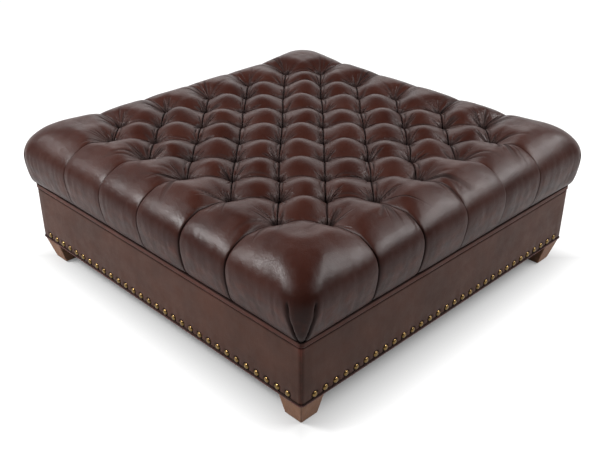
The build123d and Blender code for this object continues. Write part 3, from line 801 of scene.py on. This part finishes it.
def lathe(outline, sides):
    """Points and triangles of a turned shape, from its outline of radius and height, first on the axis."""
    points = [(0.0, 0.0, outline[0][1])]
    turns = np.linspace(0, 2 * math.pi, sides, endpoint=False)
    for radius, level in outline[1:-1]:
        points += [(radius * math.cos(turn), radius * math.sin(turn), level) for turn in turns]
    points.append((0.0, 0.0, outline[-1][1]))
    last = len(points) - 1
    faces = []
    for i in range(sides):
        j = (i + 1) % sides
        faces.append((0, 1 + i, 1 + j))
        for k in range(len(outline) - 3):
            a, b = 1 + k * sides, 1 + (k + 1) * sides
            faces += [(a + i, b + i, b + j), (a + i, b + j, a + j)]
        a = 1 + (len(outline) - 3) * sides
        faces.append((a + i, last, a + j))
    return np.array(points), np.array(faces)


def tilted(points, tilt, toward_turn):
    """The points leaned over a little in one direction."""
    axis = (-math.sin(toward_turn), math.cos(toward_turn), 0)
    return points @ np.array(Matrix.Rotation(tilt, 3, axis)).T


def many(copies, faces):
    """One set of points and faces from several copies of a shape."""
    step = len(copies[0])
    return np.vstack(copies), np.vstack([faces + i * step for i in range(len(copies))])


arcs = np.linspace(0, math.pi / 2, button_rings + 1)
button_outline = [(button_radius * math.sin(arc), -button_crown * (1 - math.cos(arc))) for arc in arcs]
button_outline.append((button_radius * button_rim, -button_crown - button_under))
button_outline.append((0.0, -button_crown - button_flat))
button_points, button_faces = lathe(button_outline, button_sides)
rng = np.random.default_rng(buttons_seed)
buttons = []
span = range(-tuft_rows_out, tuft_rows_out + 1)
for m, n in [(m, n) for m in span for n in span if (m + n) % 2]:
    tuft_x, tuft_y = m * tuft_pitch, n * tuft_pitch
    aside_x, aside_y = hand_shift(tuft_x, tuft_y, 0.0)
    leaned = tilted(button_points, rng.uniform(*button_leans), rng.uniform(0, 2 * math.pi))
    buttons.append(leaned + (tuft_x + aside_x, tuft_y + aside_y, button_top - rng.uniform(0, button_sinks)))
button_piece = mesh_piece("tuft_buttons_leather", *many(buttons, button_faces[:, ::-1]))
# The buttons are painted a little darker all over, as shade at the bottom of the pits.
paint_values(button_piece, "crease_shade", np.full(len(button_piece.data.vertices), button_shade))
paint_values(button_piece, "wear_and_light", np.full(len(button_piece.data.vertices), button_wear))
button_hide = hide_material(
    "button_hide", (0.040, 0.010, 0.006, 1), (0.060, 0.016, 0.009, 1), (0.10, 0.03, 0.018, 1),
    rough=0.42, grain_depth=0.0004, gloss=0.25, finish_coat=0.10,
)
button_piece.data.materials.append(button_hide)
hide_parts("tuft_buttons")
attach(button_piece, "root")


# The skirt is one leather panel on each side over thin padding, turned under the rail at the bottom.
# It is pulled tight by the row of nails, so it dips at each nail and puckers a little between them.
half_base = 0.560
base_corner = 0.011
skirt_top = 0.2410
skirt_bottom = 0.0722
skirt_back = 0.5536
hem_inner = 0.5345
hem_top = 0.0733
nail_height = 0.0895
nails_per_side = 30
nail_reach = 0.516
skirt_steps = 520
skirt_crown = 0.0018
skirt_waves = 0.0010
skirt_ripples = 0.0004
skirt_foot_turn = 0.0006
pushed_layer = 0.002
skirt_corner_way = 0.035
nail_dip = 0.0014
nail_dip_radius = 0.0095
pucker = 0.0006
tuck_height = 0.0788
tuck_depth = 0.0014
skirt_top_dip = 0.0012
finer_below = 0.107
# The painted shadows round the nails, in the tuck over the welt and under the band
nail_shadow_radius = 0.0084
nail_shadow_width = 0.0020
tuck_shade_width = 0.0026
band_shadow_drop = 0.0022
band_shadow_width = 0.0034
edge_rubbed = 0.006
corner_rubbed = 0.03
top_rubbed = 0.014
corner_steps = 5
side_names = ["front", "right", "back", "left"]


def turned(points, quarters):
    """Points turned about the middle of the ottoman by a number of quarter turns."""
    c, s = round(math.cos(quarters * math.pi / 2)), round(math.sin(quarters * math.pi / 2))
    x, y, z = np.moveaxis(points, -1, 0)
    return np.stack([c * x - s * y, s * x + c * y, z], -1)


def side_run(samples):
    """The front edge of the base from mitre to mitre: points, outward directions and distances along it."""
    centre = half_base - base_corner
    arcs = np.linspace(math.pi / 4, 0, corner_steps, endpoint=False)
    straight = np.linspace(-centre, centre, samples)
    out_x = np.concatenate([-np.sin(arcs), np.zeros(samples), np.sin(arcs[::-1])])
    out_y = np.concatenate([-np.cos(arcs), -np.ones(samples), -np.cos(arcs[::-1])])
    corner = np.full(corner_steps, centre)
    x = np.concatenate([-corner, straight, corner]) + base_corner * out_x
    y = base_corner * out_y - centre
    ends = base_corner * (math.pi / 4 - arcs)
    far = centre + base_corner * math.pi / 4
    along = np.concatenate([-far + ends, straight, far - ends[::-1]])
    return np.column_stack([x, y]), np.column_stack([out_x, out_y]), along


def swept_piece(name, outline, samples, quarters, push=None):
    """A piece swept along a side of the base: a closed outline of distance and height, with mitred ends."""
    points, outs, along = side_run(samples)
    far, high = np.array(outline).T
    along, high = np.meshgrid(along, high, indexing="ij")
    offset = np.tile(far - half_base, (len(along), 1))
    if push is not None:
        offset = offset + push(along, high) * (far > half_base - pushed_layer)
    x = points[:, :1] + outs[:, :1] * offset
    y = points[:, 1:] + outs[:, 1:] * offset
    # Behind the rounding of the corner, the outline turns the corner square
    deep = offset < -base_corner
    edge = half_base + offset
    x = np.where(deep, np.clip(points[:, :1], -edge, edge), x)
    y = np.where(deep, -edge, y)
    grid = turned(np.stack([x, y, high], -1), quarters)
    index = np.arange(x.size).reshape(x.shape)
    quads = grid_squares(np.column_stack([index, index[:, 0]])).tolist()
    ends = [index[0].tolist(), index[-1][::-1].tolist()]
    mesh = bpy.data.meshes.new(name)
    mesh.from_pydata(grid.reshape(-1, 3).tolist(), [], quads + ends)
    mesh.update()
    mesh.polygons.foreach_set("use_smooth", [True] * len(quads) + [False] * 2)
    return stand(name, mesh), along, high


nail_places = np.linspace(-nail_reach, nail_reach, nails_per_side)
nail_spacing = nail_places[1] - nail_places[0]


def nail_gap(along, high):
    """The distance of each point of the skirt from the nearest nail."""
    number = np.clip(np.round((along + nail_reach) / nail_spacing), 0, nails_per_side - 1)
    return np.hypot(along - (number * nail_spacing - nail_reach), high - nail_height)


def skirt_push(side):
    """How far the leather of one side stands out, as a function of the place on it."""

    def push(along, high):
        tight = eased(ramp(half_base - np.abs(along), skirt_corner_way))
        up_skirt = ramp(high - nail_height, skirt_top - nail_height)
        belly = np.sin(math.pi * up_skirt)
        out = skirt_crown * belly**0.6
        out = out + skirt_waves * smooth_noise(along + 3 * side, high, 0.17, 31) * belly
        out = out + skirt_ripples * smooth_noise(along + 3 * side, high, 0.055, 32) * belly
        out = out - nail_dip * hump(nail_gap(along, high), nail_dip_radius)
        wave = np.cos(2 * math.pi * (along + nail_reach) / nail_spacing)
        above = np.clip(high - nail_height, 0, 1)
        out = out - pucker * wave * np.exp(-above / 0.016) * ramp(high - skirt_bottom, 0.012)
        out = out - tuck_depth * hump(high - tuck_height, 0.0020)
        out = out - skirt_top_dip * hump(high - skirt_top, 0.003)
        return out * tight

    return push


low_levels = np.linspace(skirt_bottom + skirt_foot_turn, finer_below, 20)
high_levels = np.linspace(finer_below, skirt_top, 34)[1:]
skirt_outline = [(half_base - skirt_foot_turn, skirt_bottom)]
skirt_outline += [(half_base, level) for level in (*low_levels, *high_levels)]
skirt_outline += [(skirt_back, level) for level in (skirt_top, 0.19, 0.13, hem_top)]
skirt_outline += [(hem_inner, hem_top), (hem_inner, skirt_bottom)]
skirt_hide = hide_material(
    "skirt_hide", (0.026, 0.0084, 0.0042, 1), (0.039, 0.0126, 0.0063, 1), (0.082, 0.016, 0.008, 1),
    rough=0.50, grain_depth=0.0005, gloss=0.16,
)
for k, side_name in enumerate(side_names):
    push = skirt_push(k)
    skirt, along, high = swept_piece(f"skirt_panel_{side_name}", skirt_outline, skirt_steps, k, push)
    # Painted shade round the nails, over the welt and under the band
    nail_shadow = 0.9 * hump(nail_gap(along, high) - nail_shadow_radius, nail_shadow_width)
    tuck_shade = hump(high - tuck_height, tuck_shade_width)
    band_shadow = hump(high - skirt_top + band_shadow_drop, band_shadow_width)
    paint_values(skirt, "crease_shade", np.clip(nail_shadow + tuck_shade + band_shadow, 0, 1))
    # Rubbed at the corners and near the top
    from_corner = half_base - np.abs(along)
    corner_wear = 0.8 * hump(from_corner, edge_rubbed)
    corner_wear = corner_wear + 0.35 * hump(from_corner, corner_rubbed)
    top_wear = np.exp(-((skirt_top - high) / top_rubbed))
    top_wear = top_wear * (0.50 + 0.25 * smooth_noise(along, high, 0.08, 41))
    paint_values(skirt, "wear_and_light", np.clip(corner_wear + top_wear, 0, 1))
    skirt.data.materials.append(skirt_hide)
    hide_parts(f"skirt_leather_{side_name}", f"skirt_padding_{side_name}")
    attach(skirt, "root")


# The band between the cushion and the skirt is a folded strip of the hide, one run for each side.
# It covers the staples, and its lower edge stands a little proud of the skirt.
band_outline = [
    (0.5575, 0.2400), (0.5604, 0.2399), (0.5616, 0.2404), (0.5623, 0.2416), (0.5624, 0.2440),
    (0.5621, 0.2470), (0.5621, 0.2500), (0.5620, 0.2530), (0.5612, 0.2548), (0.5596, 0.2556),
    (0.5575, 0.2557),
]
band_steps = 240
band_foot = 0.2400
band_foot_rubbed = 0.0045
band_fold = 0.2500
band_shade_rise = 0.0036


def band_push(along, high):
    """The band's small waves."""
    return 0.0004 * smooth_noise(along, high, 0.045, 51) + 0.0002 * smooth_noise(along, high, 0.012, 52)


band_hide = hide_material(
    "band_hide", (0.033, 0.0105, 0.0066, 1), (0.046, 0.0142, 0.0090, 1), (0.068, 0.009, 0.005, 1),
    rough=0.46, grain_depth=0.0005, gloss=0.12,
)
for k, side_name in enumerate(side_names):
    name = f"seam_band_leather_{side_name}"
    band, along, high = swept_piece(name, band_outline, band_steps, k, band_push)
    # Painted shade on the band's upper part, under the cushion's overhang.
    paint_values(band, "crease_shade", ramp(high - band_fold, band_shade_rise))
    paint_values(band, "wear_and_light", np.exp(-((high - band_foot) / band_foot_rubbed)))
    band.data.materials.append(band_hide)
    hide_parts(f"seam_band_{side_name}")
    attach(band, "root")


# The welt is a thin piping of the hide along the bottom edge of the skirt, one run for each side.
# It is rubbed all along, and painted with shade above, where it meets the skirt.
welt_middle = 0.5602
welt_height = 0.0744
welt_radius = 0.0021
welt_sides = 12
welt_steps = 160
welt_shade_above = 0.0752

welt_turns = np.linspace(0, 2 * math.pi, welt_sides, endpoint=False)
welt_outline = [(welt_middle + welt_radius * math.cos(turn), welt_height + welt_radius * math.sin(turn))
                for turn in welt_turns]
welt_hide = hide_material(
    "welt_hide", (0.034, 0.0065, 0.0045, 1), (0.050, 0.0100, 0.0065, 1), (0.085, 0.017, 0.011, 1),
    rough=0.44, grain_depth=0.0004, gloss=0.25, finish_coat=0.05,
)
for k, side_name in enumerate(side_names):
    welt, along, high = swept_piece(f"bottom_welt_leather_{side_name}", welt_outline, welt_steps, k)
    paint_values(welt, "crease_shade", ramp(high - welt_shade_above, 0.0010))
    paint_values(welt, "wear_and_light", 0.7 + 0.3 * smooth_noise(along, high, 0.03, 61))
    welt.data.materials.append(welt_hide)
    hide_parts(f"bottom_welt_{side_name}")
    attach(welt, "root")


# The upholstery nails are domed heads of antique brass, hammered in by hand through the skirt.
# They sit a little unevenly, dark with patina round the rim and rubbed bright on the dome.
nail_head_radius = 0.0080
nail_bedded = 0.0006
nail_sides = 28
nail_scales = (0.97, 1.03)
nail_tilts = (0.0, 0.09)
nail_domes = (0.92, 1.02)
nail_dents = 0.00010
nail_aside = 0.0008
nail_off_row = 0.0006
nails_seed = 71
nail_outline = [
    (0.0, 0.00500), (0.00166, 0.00491), (0.00326, 0.00460), (0.00474, 0.00400), (0.00602, 0.00314),
    (0.00704, 0.00209), (0.00771, 0.00111), (0.00799, 0.00041), (0.00791, -0.00010), (0.00717, -0.00030),
    (0.00120, -0.00030), (0.00120, -0.01350), (0.0, -0.01500),
]
nail_points, nail_faces = lathe(nail_outline, nail_sides)
brass, tree, surface = new_material("antique_brass", {"Metallic": 0.9})
nail_place = own_place(tree)
tarnish = spread(tree, noise(tree, nail_place, 520.0, 5.0, 0.7), 0.40, 0.66)
brass_colour = mix_colour(tree, tarnish, (0.21, 0.134, 0.046, 1), (0.10, 0.062, 0.022, 1))
tone = spread(tree, noise(tree, nail_place, 45.0, 2.0), 0.35, 0.65, 0.0, 0.45)
brass_colour = mix_colour(tree, tone, brass_colour, (0.18, 0.112, 0.038, 1))
patina = spread(tree, kept_value(tree, "rim"), 0.78, 1.02)
brass_colour = mix_colour(tree, patina, brass_colour, (0.060, 0.034, 0.014, 1))
brass_rough = spread(tree, tarnish, 0.0, 1.0, 0.28, 0.46)
dents = relief(tree, noise(tree, nail_place, 380.0, 3.0), 0.35, 0.0005)
feed(tree, surface, brass_colour, brass_rough, dents)

rng = np.random.default_rng(nails_seed)
for k, side_name in enumerate(side_names):
    heads = []
    for middle in nail_places:
        head = nail_points * rng.uniform(*nail_scales)
        head = tilted(head, rng.uniform(*nail_tilts), rng.uniform(0, 2 * math.pi))
        head = head * (1, 1, rng.uniform(*nail_domes))
        dent = nail_dents * smooth_noise(head[:, 0], head[:, 1], 0.0018, int(rng.integers(1000)))
        head[:, 2] += dent * (head[:, 2] > 0.001)
        x, y, z = head.T
        along = middle + rng.uniform(-nail_aside, nail_aside)
        high = nail_height + rng.uniform(-nail_off_row, nail_off_row)
        heads.append(turned(np.column_stack([x + along, -half_base + nail_bedded - z, y + high]), k))
    nails = mesh_piece(f"brass_nails_{side_name}", *many(heads, nail_faces[:, ::-1]))
    radius = np.hypot(nail_points[:, 0], nail_points[:, 1]) / nail_head_radius
    paint_values(nails, "rim", np.tile(radius, nails_per_side))
    nails.data.materials.append(brass)
    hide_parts(f"nails_{side_name}")
    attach(nails, "root")


# The four legs are tapered blocks of hardwood, stained a medium brown and wiped with a satin oil.
# Each one is screwed on by a hanger bolt, into a tee nut in the frame.
corner_names = ["front_right", "back_right", "back_left", "front_left"]
leg_brown = (0.185, 0.088, 0.047, 1), (0.115, 0.050, 0.026, 1)

wood_group, take, give = new_group(
    "wood_grain",
    [("Place", "NodeSocketVector", None), ("Pale", "NodeSocketColor", (0.2, 0.1, 0.05, 1)),
     ("Dark", "NodeSocketColor", (0.1, 0.05, 0.03, 1))],
    [("Colour", "NodeSocketColor"), ("Height", "NodeSocketFloat")],
)
rings = {"Vector": take["Place"], "Scale": 1.0, "Detail": 4.0, "Distortion": 0.6}
rings = sum_up(wood_group, "MULTIPLY", wire(wood_group, "TexNoise", "Fac", rings), 7.0)
bands = spread(wood_group, sum_up(wood_group, "FRACT", rings), 0.0, 1.0)
pores = spread(wood_group, noise(wood_group, take["Place"], 9.0, 5.0, 0.7), 0.42, 0.60)
ringed = sum_up(wood_group, "MULTIPLY", bands, 0.55)
pored = sum_up(wood_group, "MULTIPLY", pores, 0.35)
wood_colour = mix_colour(wood_group, ringed, take["Pale"], take["Dark"])
wood_colour = mix_colour(wood_group, pored, wood_colour, take["Dark"])
wood_group.links.new(wood_colour, give["Colour"])
wood_group.links.new(sum_up(wood_group, "ADD", pores, bands), give["Height"])


def wood_material(name, colours, scale, rough, depth, gloss=0.5):
    """Wood with its grain along the axis whose scale is smallest."""
    material, tree, surface = new_material(name, {"Specular IOR Level": gloss})
    timber = tree.nodes.new("ShaderNodeGroup")
    timber.node_tree = wood_group
    timber.inputs["Pale"].default_value, timber.inputs["Dark"].default_value = colours
    place = stretched(tree, scale)
    tree.links.new(place, timber.inputs["Place"])
    sheen = spread(tree, noise(tree, place, 3.0), 0.3, 0.7, rough - 0.06, rough + 0.08)
    feed(tree, surface, timber.outputs["Colour"], sheen, relief(tree, timber.outputs["Height"], 0.4, depth))
    return material


def dress(material, *names):
    """Gives a material to pieces that the frame already has."""
    for name in names:
        for slot in nodes[name].material_slots:
            slot.material = material


leg_wood = wood_material("leg_wood", leg_brown, (22, 22, 3.2), 0.55, 0.0004, gloss=0.2)
dress(leg_wood, *[f"leg_{corner}" for corner in corner_names])


# The glides are moulded discs of black nylon, nailed on under the legs.
# They are what the ottoman stands on.
glide_nylon = (0.012, 0.012, 0.013, 1), (0.028, 0.028, 0.030, 1)


def plain_material(name, colours, scale, rough, depth, metallic=0.0, detail=4.0, stretch=(1, 1, 1)):
    """A material mottled between two colours, with fine relief."""
    material, tree, surface = new_material(name, {"Metallic": metallic})
    mottling = noise(tree, stretched(tree, stretch), scale, detail, 0.6)
    shade = spread(tree, mottling, 0.35, 0.65)
    sheen = spread(tree, shade, 0.0, 1.0, rough - 0.06, rough + 0.08)
    feed(tree, surface, mix_colour(tree, shade, *colours), sheen, relief(tree, mottling, 0.5, depth))
    return material


glide_plastic = plain_material("glide_plastic", glide_nylon, 300.0, 0.5, 0.0002)
dress(glide_plastic, *[f"leg_glide_{corner}" for corner in corner_names])


# The frame is of sawn hardwood: four rails, two cross rails and four corner blocks, with a plywood deck.
# The frame is screwed together, and the deck is screwed down on it.
rail_tan = (0.52, 0.36, 0.20, 1), (0.36, 0.22, 0.11, 1)
block_tan = (0.50, 0.34, 0.19, 1), (0.34, 0.21, 0.11, 1)
ply_tan = (0.56, 0.41, 0.25, 1), (0.40, 0.26, 0.14, 1)
lengthwise = wood_material("rail_wood_x", rail_tan, (2.0, 26, 26), 0.62, 0.0005)
crosswise = wood_material("rail_wood_y", rail_tan, (26, 2.0, 26), 0.62, 0.0005)
upright_wood = wood_material("block_wood", block_tan, (26, 26, 4.0), 0.62, 0.0005)
plywood = wood_material("plywood", ply_tan, (2.4, 14, 620), 0.60, 0.0004)
dress(lengthwise, "rail_front", "rail_back")
dress(crosswise, "rail_left", "rail_right", "cross_rail_left", "cross_rail_right")
dress(upright_wood, *[f"corner_block_{corner}" for corner in corner_names])
dress(plywood, "deck_board")


# The steel pieces are the hanger bolts and tee nuts of the legs, the screws and the tacks.
# All are plated with zinc, dull and a little mottled.
zinc_grey = (0.42, 0.43, 0.45, 1), (0.58, 0.59, 0.62, 1)
zinc = plain_material("zinc_steel", zinc_grey, 260.0, 0.36, 0.0002, metallic=1.0)
dress(zinc, "leg_hanger_bolts", "leg_tee_nuts", "frame_screws", "deck_screws", "dust_cover_tacks")


# The foam is cut from a block, with open cells, and lies on the deck.
# The fibre wrapped over it is bonded and fluffy.
foam_yellow = (0.72, 0.64, 0.38, 1), (0.84, 0.78, 0.54, 1)
fibre_white = (0.78, 0.78, 0.76, 1), (0.90, 0.90, 0.89, 1)
foam = plain_material("open_foam", foam_yellow, 900.0, 0.9, 0.0012)
fibre = plain_material("bonded_fibre", fibre_white, 240.0, 0.95, 0.0025, detail=8.0)
dress(foam, "foam_block")
dress(fibre, "fibre_wrap")


# The tuft twines are waxed and twisted, and run from the buttons down to clasps under the deck.
# The tack strips behind the band are plain cardboard.
twine_tan = (0.52, 0.45, 0.32, 1), (0.70, 0.64, 0.50, 1)
card_brown = (0.42, 0.32, 0.21, 1), (0.54, 0.43, 0.30, 1)
twine = plain_material("waxed_twine", twine_tan, 700.0, 0.55, 0.0006, stretch=(1, 1, 0.4))
card = plain_material("strip_card", card_brown, 160.0, 0.85, 0.0003)
dress(twine, "tuft_twines")
dress(card, "tack_strips")


# The dust cover is one sheet of black non-woven cloth, tacked under the rails and cut back round the legs.
# It is pulled tight at the tacks and sags a few millimetres in the middle.
dust_half = 0.54425
dust_notch = 0.476
dust_height = 0.0717
dust_sag = 0.006
dust_pulled = 0.528
dust_wrinkle = 0.0012
dust_edge_steps = 9
dust_middle_steps = 116
cloth_black = (0.010, 0.010, 0.011, 1), (0.024, 0.024, 0.026, 1)

dust_line = np.unique(np.concatenate([
    np.linspace(-dust_half, -dust_notch, dust_edge_steps),
    np.linspace(-dust_notch, dust_notch, dust_middle_steps),
    np.linspace(dust_notch, dust_half, dust_edge_steps),
]))
dust_x, dust_y = np.meshgrid(dust_line, dust_line, indexing="ij")
inner_x = np.clip(1 - (np.abs(dust_x) / dust_pulled) ** 2, 0, 1)
inner_y = np.clip(1 - (np.abs(dust_y) / dust_pulled) ** 2, 0, 1)
wrinkles = np.abs(smooth_noise(dust_x, dust_y, 0.09, 81)) * np.minimum(inner_x, inner_y)
dust_z = dust_height - dust_sag * inner_x * inner_y - dust_wrinkle * wrinkles
dust_points = np.stack([dust_x, dust_y, dust_z], -1).reshape(-1, 3)
quads = grid_squares(np.arange(dust_x.size).reshape(dust_x.shape))
middles = np.abs(dust_line[:-1] + dust_line[1:]) / 2
clear_of_legs = np.minimum(middles[:, None], middles[None, :]).ravel() < dust_notch
used, dust_faces = np.unique(quads[clear_of_legs], return_inverse=True)
dust_cloth = mesh_piece("dust_cover_cloth", dust_points[used], dust_faces.reshape(-1, 4))
black_cloth = plain_material("black_cloth", cloth_black, 420.0, 0.85, 0.0005, detail=6.0)
dust_cloth.data.materials.append(black_cloth)
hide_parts("dust_cover")
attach(dust_cloth, "root")
